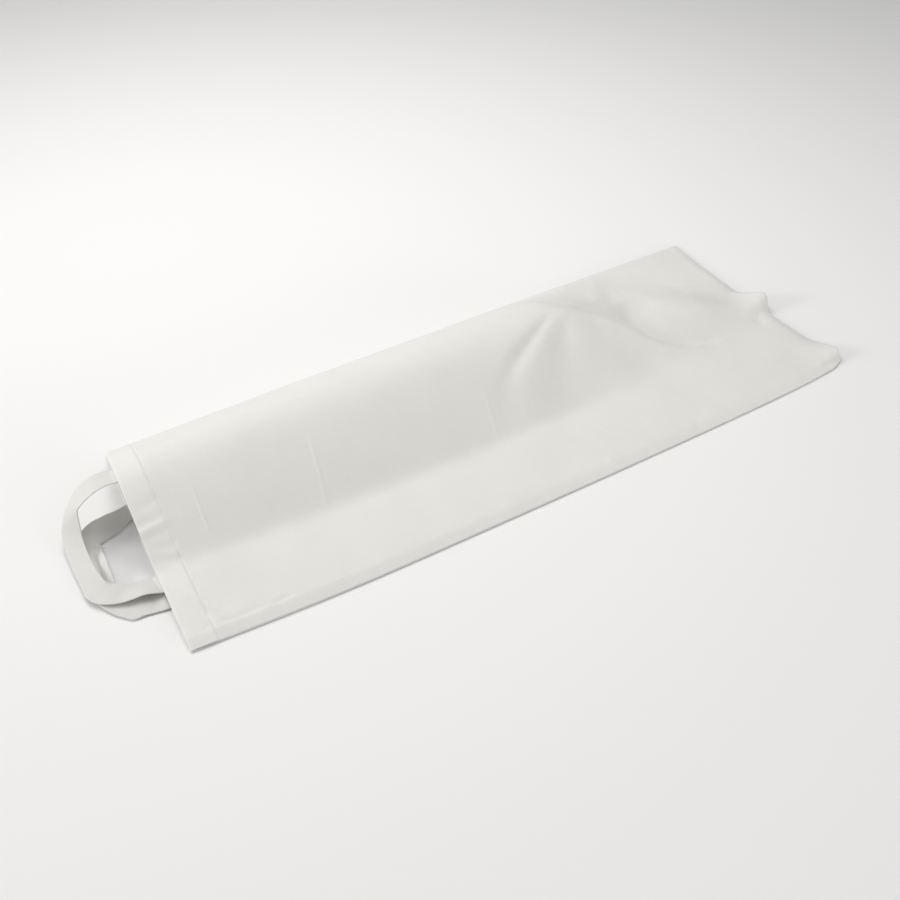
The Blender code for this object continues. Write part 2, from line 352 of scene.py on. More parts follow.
def plain_weave_group():
    """Threads over and under each other at a pitch, with slubs, uneven tone and painted shade in
    the gaps between threads, from flat cloth coordinates in metres."""
    tree = bpy.data.node_groups.new("plain_weave", "ShaderNodeTree")
    face = tree.interface
    face.new_socket("Flat Cloth", in_out="INPUT", socket_type="NodeSocketVector")
    face.new_socket("Threads Per Metre", in_out="INPUT", socket_type="NodeSocketFloat")
    face.new_socket("Slub", in_out="INPUT", socket_type="NodeSocketFloat")
    face.new_socket("Height", in_out="OUTPUT", socket_type="NodeSocketFloat")
    face.new_socket("Shade", in_out="OUTPUT", socket_type="NodeSocketFloat")
    enter = tree.nodes.new("NodeGroupInput")
    leave = tree.nodes.new("NodeGroupOutput")
    apart = tree.nodes.new("ShaderNodeSeparateXYZ")
    tree.links.new(enter.outputs["Flat Cloth"], apart.inputs[0])

    def streaks(way):
        """Thread-wise streaks: noise that is stretched along one of the two thread directions."""
        join = tree.nodes.new("ShaderNodeCombineXYZ")
        for k in range(2):
            scale = SLUBS_ALONG[way] if k == way else SLUBS_ABREAST
            tree.links.new(math_node(tree, "MULTIPLY", apart.outputs[k], scale), join.inputs[k])
        join.inputs[2].default_value = SLUB_SLICES[way]
        streak = tree.nodes.new("ShaderNodeTexNoise")
        streak.inputs["Scale"].default_value = 1.0
        streak.inputs["Detail"].default_value = 2.0
        tree.links.new(join.outputs[0], streak.inputs["Vector"])
        return math_node(tree, "SUBTRACT", streak.outputs["Fac"], 0.5)

    cells = [math_node(tree, "MULTIPLY", apart.outputs[k], enter.outputs[1]) for k in range(2)]
    centred = [math_node(tree, "SUBTRACT", math_node(tree, "FRACT", c), 0.5) for c in cells]
    floors = [math_node(tree, "FLOOR", c) for c in cells]
    parity = math_node(tree, "FLOORED_MODULO", math_node(tree, "ADD", *floors), 2.0)
    squares = [math_node(tree, "MULTIPLY", c, c) for c in centred]

    def thread(side, run):
        """Height of a thread that is on top: round across itself, and arched along itself."""
        across = math_node(tree, "MULTIPLY_ADD", side, THREAD_ROUND, 1.0)
        arch = math_node(tree, "MULTIPLY_ADD", run, THREAD_ARCH, 1.0)
        return math_node(tree, "MULTIPLY", across, arch)

    warp, weft = thread(squares[1], squares[0]), thread(squares[0], squares[1])
    difference = math_node(tree, "SUBTRACT", weft, warp)
    woven = math_node(tree, "MULTIPLY_ADD", difference, parity, warp)
    slubs = math_node(tree, "ADD", streaks(0), streaks(1))
    slubs = math_node(tree, "MULTIPLY", slubs, enter.outputs["Slub"])
    raised = math_node(tree, "MULTIPLY_ADD", slubs, SLUB_RISE, woven)
    tree.links.new(raised, leave.inputs["Height"])

    cloud = tree.nodes.new("ShaderNodeTexNoise")
    cloud.inputs["Scale"].default_value = PATCH_SCALE
    cloud.inputs["Detail"].default_value = 3.0
    tree.links.new(enter.outputs["Flat Cloth"], cloud.inputs["Vector"])
    patches = math_node(tree, "SUBTRACT", cloud.outputs["Fac"], 0.5)
    patches = math_node(tree, "MULTIPLY", patches, PATCH_SHADE)
    # painted shade: the gaps between threads darker and the thread tops lighter, following the
    # weave's height
    painted_gap_shade = math_node(tree, "MULTIPLY", math_node(tree, "SUBTRACT", woven, GAP_LEVEL), GAP_PAINTED_SHADE)
    shade = math_node(tree, "ADD", math_node(tree, "ADD", slubs, patches), painted_gap_shade)
    tree.links.new(math_node(tree, "ADD", shade, 0.5), leave.inputs["Shade"])
    return tree


plain_weave = plain_weave_group()
SLUBS = 0.2
RELIEF = 0.00018  # of the threads over the gaps between them
HEM_EDGE = 0.0008  # how softly the doubled cloth of the hem ends, and its painted lightness with it
# the hem's colour is painted this much lighter, standing in for less of the bag's shaded inside
# showing through two layers
HEM_PAINTED_LIGHT = 0.14


def linen(name, dark, light, threads_per_metre, hem_end=None):
    """Undyed linen: a matte weave between two shades, painted lighter on a hem, where the doubled
    cloth lets less of the shaded inside show through.
    """
    material = bpy.data.materials.new(name)
    material.use_nodes = True
    tree = material.node_tree
    shader = tree.nodes["Principled BSDF"]
    shader.inputs["Roughness"].default_value = 0.88
    shader.inputs["Specular IOR Level"].default_value = 0.25
    shader.inputs["Sheen Weight"].default_value = 0.12
    shader.inputs["Sheen Roughness"].default_value = 0.5
    where = tree.nodes.new("ShaderNodeUVMap")
    where.uv_map = "flat_cloth"
    weave = tree.nodes.new("ShaderNodeGroup")
    weave.node_tree = plain_weave
    weave.inputs["Threads Per Metre"].default_value = threads_per_metre
    weave.inputs["Slub"].default_value = SLUBS
    tree.links.new(where.outputs["UV"], weave.inputs["Flat Cloth"])
    shade = weave.outputs["Shade"]
    # painted light: the doubled hem is coloured lighter than the single cloth beside it
    if hem_end:
        place = tree.nodes.new("ShaderNodeSeparateXYZ")
        tree.links.new(where.outputs["UV"], place.inputs[0])
        painted_hem_light = tree.nodes.new("ShaderNodeMapRange")
        painted_hem_light.inputs["From Min"].default_value = hem_end + HEM_EDGE
        painted_hem_light.inputs["From Max"].default_value = hem_end - HEM_EDGE
        painted_hem_light.inputs["To Min"].default_value = 0.0
        painted_hem_light.inputs["To Max"].default_value = HEM_PAINTED_LIGHT
        tree.links.new(place.outputs["X"], painted_hem_light.inputs["Value"])
        shade = math_node(tree, "ADD", shade, painted_hem_light.outputs[0])
    colours = tree.nodes.new("ShaderNodeMix")
    colours.data_type = "RGBA"
    colours.inputs["A"].default_value = dark
    colours.inputs["B"].default_value = light
    tree.links.new(shade, colours.inputs["Factor"])
    tree.links.new(colours.outputs["Result"], shader.inputs["Base Color"])
    bump = tree.nodes.new("ShaderNodeBump")
    bump.inputs["Strength"].default_value = 0.35
    bump.inputs["Distance"].default_value = RELIEF
    tree.links.new(weave.outputs["Height"], bump.inputs["Height"])
    tree.links.new(bump.outputs["Normal"], shader.inputs["Normal"])
    return material


PANEL_DARK = (0.68, 0.667, 0.642, 1.0)
PANEL_LIGHT = (0.84, 0.832, 0.806, 1.0)
PANEL_THREADS = 1500.0  # a metre
panel_linen = linen("panel_linen", PANEL_DARK, PANEL_LIGHT, PANEL_THREADS, HEM)

lower_rows = spaced((0.0, 0.62, 0.008), (0.62, LENGTH, 0.0025))
lower_columns = [k / LOWER_COLUMNS for k in range(LOWER_COLUMNS + 1)]
bag_back = panel("back_panel", lower_middle, -1, lower_rows, lower_columns, panel_linen)
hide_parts("bag_back")
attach(bag_back, "root")

# ---------------------------------------------------------------------------------------------
# The upper panel: the same linen, standing up as a hollow ridge over the bread space. Past the
# ridge's end it breaks into folds that fan out to the near side, and a soft pleat runs on to the
# bottom seam. The hem's one row of stitches draws it in a little.

LOFT = 0.0036  # how far the cloth stands off the lower panel where nothing else lifts it
SEAM_BAND = 0.0085  # how far in from a seam its stitched, steeper band reaches
BAND_EDGE = (0.0006, 0.0040)  # rounding of the band's inner edge by the mouth and by the bottom
FLAT_CORNER = 0.035  # round the corners of the bottom seam the two panels lie closer
FLATNESS = 0.7  # and by this share at the very corner
FOLDS_START = 0.022  # folds, and then wrinkles, have their full height this far in from a seam
WRINKLES_START = 0.008
RIDGE_FADE = 0.12
SOFT_FOOT = (0.0025, 0.0055)  # rounding at the foot of the ridge, and at the foot of its pleat
FOOT_CHANGE = (0.43, 0.12)  # where along the bag the one starts to give way, and over how much
HEM_FULLNESS = 0.0004
HEM_STEP = 0.0012  # how softly the hem's fullness ends
STITCH_PULL = 0.0003
STITCH_DENT = 0.0009  # how far to either side of the stitches their pull is seen
PUCKER_REACH = 0.006
GATHER_REACH = 0.009

# The cloth's unevenness: how much, its scale along and across the bag (below 1 draws its swells
# out), their size and a seed.
Waver = namedtuple("Waver", "amount along across size seed")
BAND_WAVER = Waver(0.12, 1.0, 0.1, 0.018, 8.0)
PUCKERS = Waver(0.0005, 1.0, 0.2, 0.009, 5.0)
GATHERS = Waver(0.0003, 0.35, 1.0, 0.006, 7.0)
SWELLS = (
    Waver(0.0007, 1.0, 1.0, 0.055, 1.0),
    Waver(0.00025, 1.0, 1.0, 0.020, 2.0),
    Waver(0.00016, 1.0, 1.0, 0.010, 3.0),
)

# The ridge and its pleat, cut across the bag: where the crest lies, how high it is, how far each
# slope reaches and how round the crest is.
Section = namedtuple("Section", "along crest height near far round")
SECTIONS = (
    Section(0.000, 0.157, 0.048, 0.076, 0.093, 0.022),
    Section(0.100, 0.156, 0.054, 0.080, 0.096, 0.024),
    Section(0.250, 0.152, 0.059, 0.084, 0.102, 0.026),
    Section(0.380, 0.152, 0.058, 0.086, 0.103, 0.024),
    Section(0.450, 0.154, 0.052, 0.088, 0.102, 0.018),
    Section(0.490, 0.146, 0.036, 0.082, 0.108, 0.014),
    Section(0.530, 0.138, 0.025, 0.062, 0.104, 0.016),
    Section(0.620, 0.122, 0.020, 0.040, 0.062, 0.012),
    Section(0.680, 0.110, 0.026, 0.025, 0.038, 0.006),
    Section(0.709, 0.106, 0.030, 0.018, 0.030, 0.003),
)

# Each crease runs through its points. left and right are how far it reaches to either side,
# looking along it, and soft is how round its line is. Wrinkles run closer to the seams than folds.
Crease = namedtuple("Crease", "along across height left right soft")
FOLDS = {
    "first trough": (
        Crease(0.436, 0.150, -0.001, 0.0040, 0.0025, 0.0010),
        Crease(0.422, 0.143, -0.0028, 0.0050, 0.0028, 0.0010),
        Crease(0.402, 0.133, -0.0042, 0.0060, 0.0032, 0.0010),
        Crease(0.380, 0.122, -0.0046, 0.0080, 0.0038, 0.0012),
        Crease(0.364, 0.112, -0.0028, 0.0100, 0.0050, 0.0020),
        Crease(0.346, 0.096, -0.001, 0.0120, 0.0080, 0.0040),
    ),
    "first ridge": (
        Crease(0.448, 0.146, 0.0005, 0.012, 0.010, 0.006),
        Crease(0.420, 0.127, 0.0015, 0.016, 0.014, 0.009),
        Crease(0.386, 0.096, 0.0030, 0.020, 0.020, 0.012),
        Crease(0.360, 0.065, 0.0010, 0.022, 0.022, 0.012),
    ),
    "second trough": (
        Crease(0.454, 0.143, -0.0010, 0.007, 0.005, 0.003),
        Crease(0.440, 0.129, -0.0035, 0.009, 0.006, 0.003),
        Crease(0.428, 0.115, -0.0045, 0.012, 0.008, 0.004),
        Crease(0.412, 0.096, -0.0040, 0.016, 0.012, 0.006),
        Crease(0.394, 0.068, -0.0010, 0.018, 0.014, 0.008),
    ),
    "second ridge": (
        Crease(0.464, 0.137, 0.0010, 0.010, 0.010, 0.006),
        Crease(0.466, 0.118, 0.0020, 0.016, 0.016, 0.010),
        Crease(0.474, 0.090, 0.0020, 0.020, 0.020, 0.012),
        Crease(0.486, 0.060, 0.0005, 0.024, 0.022, 0.012),
    ),
    "edge beyond the end": (
        Crease(0.464, 0.156, 0.001, 0.008, 0.010, 0.0012),
        Crease(0.486, 0.145, 0.004, 0.010, 0.014, 0.0012),
        Crease(0.507, 0.129, 0.006, 0.010, 0.016, 0.0010),
        Crease(0.529, 0.109, 0.006, 0.008, 0.016, 0.0010),
        Crease(0.546, 0.093, 0.004, 0.008, 0.015, 0.0015),
        Crease(0.566, 0.082, 0.002, 0.009, 0.014, 0.0040),
        Crease(0.595, 0.072, 0.000, 0.010, 0.014, 0.0060),
    ),
    "hollow beyond the end": (
        Crease(0.508, 0.202, -0.0005, 0.030, 0.018, 0.010),
        Crease(0.535, 0.197, -0.0025, 0.036, 0.028, 0.010),
        Crease(0.552, 0.185, -0.0055, 0.040, 0.030, 0.009),
        Crease(0.556, 0.168, -0.0095, 0.030, 0.030, 0.007),
        Crease(0.551, 0.152, -0.0120, 0.014, 0.026, 0.004),
        Crease(0.543, 0.136, -0.0105, 0.013, 0.018, 0.003),
        Crease(0.545, 0.117, -0.0070, 0.013, 0.011, 0.0025),
        Crease(0.556, 0.103, -0.0054, 0.009, 0.007, 0.002),
        Crease(0.574, 0.090, -0.0052, 0.0065, 0.005, 0.0015),
        Crease(0.596, 0.082, -0.0034, 0.006, 0.005, 0.0015),
        Crease(0.622, 0.076, -0.0004, 0.008, 0.008, 0.003),
    ),
    "shoulder at the end": (
        Crease(0.470, 0.158, 0.0006, 0.018, 0.008, 0.002),
        Crease(0.483, 0.169, 0.0042, 0.022, 0.011, 0.002),
        Crease(0.499, 0.184, 0.0038, 0.024, 0.013, 0.003),
        Crease(0.521, 0.198, 0.0008, 0.024, 0.016, 0.005),
    ),
    "start of the pleat": (
        Crease(0.556, 0.150, -0.0040, 0.016, 0.012, 0.008),
        Crease(0.566, 0.142, -0.0040, 0.018, 0.014, 0.008),
        Crease(0.592, 0.134, -0.0010, 0.020, 0.016, 0.008),
        Crease(0.625, 0.124, 0.0015, 0.020, 0.014, 0.008),
    ),
    "over the handles": (
        Crease(-0.010, 0.064, 0.0026, 0.024, 0.024, 0.012),
        Crease(0.030, 0.066, 0.0022, 0.022, 0.022, 0.012),
    ),
}
WRINKLES = {
    "press crease near the mouth": (
        Crease(0.0520, 0.124, 0.0004, 0.0010, 0.0010, 0.0005),
        Crease(0.0510, 0.093, 0.0005, 0.0010, 0.0010, 0.0005),
    ),
    "press crease": (
        Crease(0.1590, 0.119, 0.0005, 0.0012, 0.0010, 0.0005),
        Crease(0.1555, 0.098, 0.0006, 0.0012, 0.0010, 0.0005),
        Crease(0.1510, 0.076, 0.0003, 0.0012, 0.0010, 0.0005),
    ),
    "press crease by the folds": (
        Crease(0.3310, 0.099, 0.0004, 0.0012, 0.0012, 0.0006),
        Crease(0.3250, 0.064, 0.0003, 0.0012, 0.0012, 0.0006),
    ),
    "inside the far edge": (
        Crease(0.0210, 0.224, -0.0006, 0.005, 0.005, 0.003),
        Crease(0.0590, 0.209, -0.0010, 0.006, 0.006, 0.004),
        Crease(0.1100, 0.203, -0.0003, 0.008, 0.008, 0.005),
    ),
    "hem pucker": (
        Crease(-0.003, 0.1090, 0.0013, 0.0022, 0.0020, 0.0008),
        Crease(0.0170, 0.1098, 0.0011, 0.0022, 0.0020, 0.0008),
        Crease(0.0250, 0.1105, 0.0002, 0.0030, 0.0025, 0.0015),
    ),
    "hollow above the pucker": (
        Crease(-0.001, 0.1132, -0.0010, 0.0028, 0.0020, 0.0008),
        Crease(0.0190, 0.1146, -0.0010, 0.0028, 0.0020, 0.0008),
    ),
    "hollow below the pucker": (
        Crease(-0.002, 0.1050, -0.0010, 0.0020, 0.0028, 0.0008),
        Crease(0.0180, 0.1040, -0.0009, 0.0020, 0.0028, 0.0008),
    ),
    "upper hem hollow": (
        Crease(0.001, 0.1230, -0.0004, 0.0035, 0.0026, 0.0012),
        Crease(0.0200, 0.1265, -0.0010, 0.0035, 0.0026, 0.0012),
    ),
    "lower hem hollow": (
        Crease(0.002, 0.0985, -0.0010, 0.0030, 0.0026, 0.0012),
        Crease(0.0190, 0.0940, -0.0016, 0.0030, 0.0026, 0.0012),
    ),
    "lowest hem hollow": (
        Crease(0.004, 0.0890, -0.0008, 0.0030, 0.0030, 0.0012),
        Crease(0.0200, 0.0835, -0.0015, 0.0030, 0.0030, 0.0012),
    ),
    "corner wrinkle": (
        Crease(0.0160, 0.0420, -0.0006, 0.0040, 0.0030, 0.0015),
        Crease(0.0220, 0.0340, -0.0014, 0.0040, 0.0030, 0.0015),
        Crease(0.0320, 0.0215, -0.0016, 0.0040, 0.0030, 0.0015),
        Crease(0.0420, 0.0160, -0.0004, 0.0040, 0.0040, 0.0015),
    ),
    "second corner wrinkle": (
        Crease(0.0110, 0.0285, -0.0004, 0.0030, 0.0030, 0.0015),
        Crease(0.0190, 0.0220, -0.0014, 0.0034, 0.0026, 0.0012),
        Crease(0.0210, 0.0150, -0.0014, 0.0034, 0.0026, 0.0012),
        Crease(0.0150, 0.0095, -0.0006, 0.0030, 0.0030, 0.0015),
    ),
    "hollow by the near seam": (
        Crease(0.0280, 0.0115, -0.0009, 0.0026, 0.0022, 0.0012),
        Crease(0.0450, 0.0090, -0.0015, 0.0026, 0.0022, 0.0012),
        Crease(0.0620, 0.0070, -0.0006, 0.0026, 0.0022, 0.0012),
    ),
    "pucker by the near seam": (
        Crease(0.0740, 0.0065, -0.0012, 0.0020, 0.0018, 0.0010),
        Crease(0.0830, 0.0055, -0.0012, 0.0020, 0.0018, 0.0010),
    ),
    "under the standing seam": (
        Crease(0.6960, 0.0940, -0.0003, 0.0050, 0.0050, 0.0020),
        Crease(0.6850, 0.0835, -0.0018, 0.0050, 0.0050, 0.0020),
        Crease(0.6720, 0.0740, -0.0003, 0.0060, 0.0060, 0.0030),
    ),
}
CREASE_BLEND = 0.002  # how softly one stretch of a crease gives way to the next


def crease_height(crease, along, across):
    """What one crease adds at a place: full on its line, and dying away to either side."""
    added = np.zeros(along.shape)
    weights = np.zeros(along.shape)
    for start, end in zip(crease, crease[1:]):
        run_x, run_y = end.along - start.along, end.across - start.across
        off_x, off_y = along - start.along, across - start.across
        t = np.clip((off_x * run_x + off_y * run_y) / (run_x**2 + run_y**2), 0.0, 1.0)
        away = np.hypot(off_x - t * run_x, off_y - t * run_y)
        height, left, right, soft = (a + (b - a) * t for a, b in zip(start[2:], end[2:]))
        reach = np.where(run_x * off_y - run_y * off_x > 0, left, right)
        here = height * np.exp(-((np.hypot(away, soft) - soft) / reach) ** 1.5)
        weight = np.exp(-away / CREASE_BLEND)
        added += weight * here
        weights += weight
    return added / weights


def ridge_height(along, across):
    """The ridge and its pleat over the flat cloth, below zero past the foot of either slope."""
    crest, height, near, far, roundness = smooth_row(SECTIONS, along)
    reach = np.where(across < crest, near, far)
    out = np.abs(across - crest) / reach
    tip = roundness / reach
    return height * (1 - (np.hypot(out, tip) - tip) / (np.hypot(1.0, tip) - tip))


def uneven(along, across, size, seed):
    """Smooth unevenness between about -1 and 1, with swells of a given size."""
    spread = [noise.noise((a / size, b / size, seed)) for a, b in zip(along.flat, across.flat)]
    return np.array(spread).reshape(along.shape)


def wavering(waver, along, across):
    """One kind of the cloth's unevenness."""
    along, across = along * waver.along, across * waver.across
    return waver.amount * uneven(along, across, waver.size, waver.seed)


def upper_middle(along, across):
    """Middle of the upper panel's thickness, over the table."""
    near, far = smooth_row(EDGES, along)
    to_side = np.maximum(np.minimum(across - near, far - across), 0.0)
    to_seam = np.minimum(to_side, np.maximum(LENGTH - along, 0.0))
    band = SEAM_BAND * (1 + wavering(BAND_WAVER, along, across))
    inside = to_seam / band - 1
    tip = (BAND_EDGE[0] + (BAND_EDGE[1] - BAND_EDGE[0]) * ease(along / LENGTH)) / SEAM_BAND
    loft = LOFT * (1 + (inside - np.hypot(inside, tip)) / 2)
    from_corner = np.hypot(LENGTH - along, to_side)
    loft = loft * (1 - FLATNESS * np.exp(-((from_corner / FLAT_CORNER) ** 2)))
    pleat = ease((along - FOOT_CHANGE[0]) / FOOT_CHANGE[1])
    foot = SOFT_FOOT[0] + (SOFT_FOOT[1] - SOFT_FOOT[0]) * pleat
    ridge = foot * np.log1p(np.exp(ridge_height(along, across) / foot))
    ridge = ridge * ease((LENGTH - along) / RIDGE_FADE)
    folds = sum(crease_height(fold, along, across) for fold in FOLDS.values())
    wrinkles = sum(crease_height(wrinkle, along, across) for wrinkle in WRINKLES.values())
    swells = sum(wavering(swell, along, across) for swell in SWELLS)
    pucker = wavering(PUCKERS, along, across)
    pucker = pucker * np.exp(-(((to_side - SEAM_BAND) / PUCKER_REACH) ** 2))
    stack = lower_middle(along, across) + 3 * LAYER * steepness(seam_lift, along, across)
    # the hem is a layer fuller than the cloth past it, and its stitches draw both of them in
    full = HEM_FULLNESS * ease((HEM + HEM_STEP - along) / (2 * HEM_STEP))
    drawn = np.exp(-(((along - HEM) / STITCH_DENT) ** 2)) * -STITCH_PULL
    gathers = wavering(GATHERS, along, across)
    gathers = gathers * np.exp(-(((along - HEM) / GATHER_REACH) ** 2))
    height = stack + loft + (ridge + folds + swells) * ease(to_seam / FOLDS_START)
    return height + wrinkles * ease(to_seam / WRINKLES_START) + pucker + full + drawn + gathers


upper_rows = spaced(
    (0.0, 0.0195, 0.0028),
    (0.0195, 0.0240, 0.0006),
    (0.0240, 0.0490, 0.0030),
    (0.0490, 0.0540, 0.0006),
    (0.0540, 0.1490, 0.0032),
    (0.1490, 0.1610, 0.0007),
    (0.1610, 0.3230, 0.0034),
    (0.3230, 0.3330, 0.0010),
    (0.3330, 0.6000, 0.0022),
    (0.6000, LENGTH, 0.0027),
)
upper_columns = spaced((0.0, 0.06, 0.004), (0.06, 0.94, 0.0082), (0.94, 1.0, 0.006))
bag_front = panel("front_panel", upper_middle, 1, upper_rows, upper_columns, panel_linen)
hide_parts("bag_front")
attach(bag_front, "root")

# ---------------------------------------------------------------------------------------------
# The hem's stitches: one row of cotton thread along the edge of each panel's hem. The upper
# panel's row is seen on its outside, and the lower panel's on the inside, through the open mouth.

STITCH_SPACING = 0.0030
STITCH_LENGTH = 0.0025
THREAD = 0.00045
STITCH_ROW_STEP = 0.0015
ROW_ENDS = 0.006  # how far short of the side seams a row stops
TILT_STEP = 0.001  # how far to either side the cloth's tilt is measured
SWAY = 0.07  # how far a stitch may turn to either side (radians)
THREAD_DARK = (0.74, 0.725, 0.68, 1.0)
THREAD_LIGHT = (0.84, 0.825, 0.78, 1.0)


def thread_cotton():
    """Undyed cotton thread with a fine twist, slightly lighter than the linen."""
    material = bpy.data.materials.new("thread_cotton")
    material.use_nodes = True
    tree = material.node_tree
    shader = tree.nodes["Principled BSDF"]
    shader.inputs["Roughness"].default_value = 0.7
    shader.inputs["Specular IOR Level"].default_value = 0.3
    place = tree.nodes.new("ShaderNodeTexCoord")
    twist = tree.nodes.new("ShaderNodeTexWave")
    twist.bands_direction = "DIAGONAL"
    twist.inputs["Scale"].default_value = 900.0
    tree.links.new(place.outputs["Object"], twist.inputs["Vector"])
    colours = tree.nodes.new("ShaderNodeMix")
    colours.data_type = "RGBA"
    colours.inputs["A"].default_value = THREAD_DARK
    colours.inputs["B"].default_value = THREAD_LIGHT
    tree.links.new(twist.outputs["Fac"], colours.inputs["Factor"])
    tree.links.new(colours.outputs["Result"], shader.inputs["Base Color"])
    return material


def stitch_row_tree():
    """Geometry Nodes: a stitch at every step of a row of edges, lying along it. The row's points
    carry the direction that faces out of the cloth."""
    tree = bpy.data.node_groups.new("stitch_row", "GeometryNodeTree")
    face = tree.interface
    face.new_socket("Row", in_out="INPUT", socket_type="NodeSocketGeometry")
    for name in ("Spacing", "Stitch Length", "Thread Width"):
        face.new_socket(name, in_out="INPUT", socket_type="NodeSocketFloat")
    face.new_socket("Seed", in_out="INPUT", socket_type="NodeSocketInt")
    face.new_socket("Thread", in_out="INPUT", socket_type="NodeSocketMaterial")
    face.new_socket("Stitches", in_out="OUTPUT", socket_type="NodeSocketGeometry")
    new, link = tree.nodes.new, tree.links.new
    enter, leave = new("NodeGroupInput"), new("NodeGroupOutput")

    line = new("GeometryNodeMeshToCurve")
    link(enter.outputs["Row"], line.inputs["Mesh"])
    steps = new("GeometryNodeResampleCurve")
    steps.mode = "LENGTH"
    link(line.outputs["Curve"], steps.inputs["Curve"])
    link(enter.outputs["Spacing"], steps.inputs["Length"])

    along, outward = new("GeometryNodeInputTangent"), new("GeometryNodeInputNamedAttribute")
    outward.data_type = "FLOAT_VECTOR"
    outward.inputs["Name"].default_value = "outward"
    turn = new("FunctionNodeAxesToRotation")
    turn.primary_axis, turn.secondary_axis = "Z", "X"
    link(outward.outputs["Attribute"], turn.inputs["Primary Axis"])
    link(along.outputs["Tangent"], turn.inputs["Secondary Axis"])
    sway = new("FunctionNodeRandomValue")
    sway.data_type = "FLOAT"
    sway.inputs["Min"].default_value = -SWAY
    sway.inputs["Max"].default_value = SWAY
    link(enter.outputs["Seed"], sway.inputs["Seed"])
    about = new("FunctionNodeAxisAngleToRotation")
    about.inputs["Axis"].default_value = (0.0, 0.0, 1.0)
    link(sway.outputs["Value"], about.inputs["Angle"])
    swayed = new("FunctionNodeRotateRotation")
    swayed.rotation_space = "LOCAL"
    link(turn.outputs["Rotation"], swayed.inputs["Rotation"])
    link(about.outputs["Rotation"], swayed.inputs["Rotate By"])

    bead = new("GeometryNodeMeshUVSphere")
    bead.inputs["Segments"].default_value = 6
    bead.inputs["Rings"].default_value = 5
    bead.inputs["Radius"].default_value = 0.5
    size = new("ShaderNodeCombineXYZ")
    link(enter.outputs["Stitch Length"], size.inputs["X"])
    for axis in ("Y", "Z"):
        link(enter.outputs["Thread Width"], size.inputs[axis])
    shape = new("GeometryNodeTransform")
    link(bead.outputs["Mesh"], shape.inputs["Geometry"])
    link(size.outputs["Vector"], shape.inputs["Scale"])

    place = new("GeometryNodeInstanceOnPoints")
    link(steps.outputs["Curve"], place.inputs["Points"])
    link(shape.outputs["Geometry"], place.inputs["Instance"])
    link(swayed.outputs["Rotation"], place.inputs["Rotation"])
    real = new("GeometryNodeRealizeInstances")
    link(place.outputs["Instances"], real.inputs["Geometry"])
    smooth = new("GeometryNodeSetShadeSmooth")
    link(real.outputs["Geometry"], smooth.inputs["Geometry"])
    cotton = new("GeometryNodeSetMaterial")
    link(smooth.outputs["Geometry"], cotton.inputs["Geometry"])
    link(enter.outputs["Thread"], cotton.inputs["Material"])
    link(cotton.outputs["Geometry"], leave.inputs["Stitches"])
    return tree


def stitch_row(name, tree, surface, lift, seed, material):
    """A hem's row of stitches, on a panel's middle surface lifted to its face."""
    near, far = (float(edge[0]) for edge in smooth_row(EDGES, np.array([HEM])))
    across = np.arange(near + ROW_ENDS, far - ROW_ENDS, STITCH_ROW_STEP)
    along = np.full(across.shape, HEM)
    x, y = on_table(along, across)
    slope = surface(along, across + TILT_STEP) - surface(along, across - TILT_STEP)
    tilt = np.arctan2(slope, 2 * TILT_STEP)
    outward = np.stack([np.zeros(len(x)), -np.sin(tilt), np.cos(tilt)], axis=-1)
    points = np.stack([x, y, surface(along, across)], axis=-1) + outward * lift
    mesh = bpy.data.meshes.new(name + "_line")
    mesh.from_pydata(points.tolist(), [(i, i + 1) for i in range(len(x) - 1)], [])
    facing = mesh.attributes.new("outward", "FLOAT_VECTOR", "POINT")
    facing.data.foreach_set("vector", outward.ravel())
    row = bpy.data.objects.new(name + "_line", mesh)
    bpy.context.collection.objects.link(row)
    repeat = row.modifiers.new("stitches", "NODES")
    repeat.node_group = tree
    settings = {
        "Spacing": STITCH_SPACING,
        "Stitch Length": STITCH_LENGTH,
        "Thread Width": THREAD,
        "Seed": seed,
        "Thread": material,
    }
    for item in tree.interface.items_tree:
        if item.name in settings:
            repeat[item.identifier] = settings[item.name]
    made = row.evaluated_get(bpy.context.evaluated_depsgraph_get())
    stitches = bpy.data.objects.new(name, bpy.data.meshes.new_from_object(made))
    stitches.data.name = name
    bpy.context.collection.objects.link(stitches)
    bpy.data.objects.remove(row)
    return stitches


cotton = thread_cotton()
stitch_tree = stitch_row_tree()
hem_stitches = (
    stitch_row("front_hem_stitches", stitch_tree, upper_middle, SHEET / 2, 3, cotton),
    stitch_row("back_hem_stitches", stitch_tree, lower_middle, LAYER + SHEET / 2, 4, cotton),
)
for row in hem_stitches:
    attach(row, "root")

# ---------------------------------------------------------------------------------------------
# The handles: two lengths of flat tape, woven like the bag but closer. Each one's ends are caught
# inside the mouth under its panel's hem. The upper one arches over where the loaf's tip was and
# falls on the lower one, which lies on the table with one side curled up.

TAPE = 0.0012
TAPE_WIDTH = 0.0205
CLEAR = 0.0001  # between a tape and the hem it lies on
TAPE_LEAVES = (-0.005, 0.003)  # between these places along the bag a tape leaves its hem
TAPE_FREE = (0.002, 0.012)  # a tape starts to swell this far out of the mouth, over this much more
TAPE_SWELL = 0.0005
SWELL_SIZE = 0.014
SOFT_EDGE = 0.35  # rounding of a tape's edges, as a share of its thickness
TAPE_ROWS = 170
TAPE_COLUMNS = 16

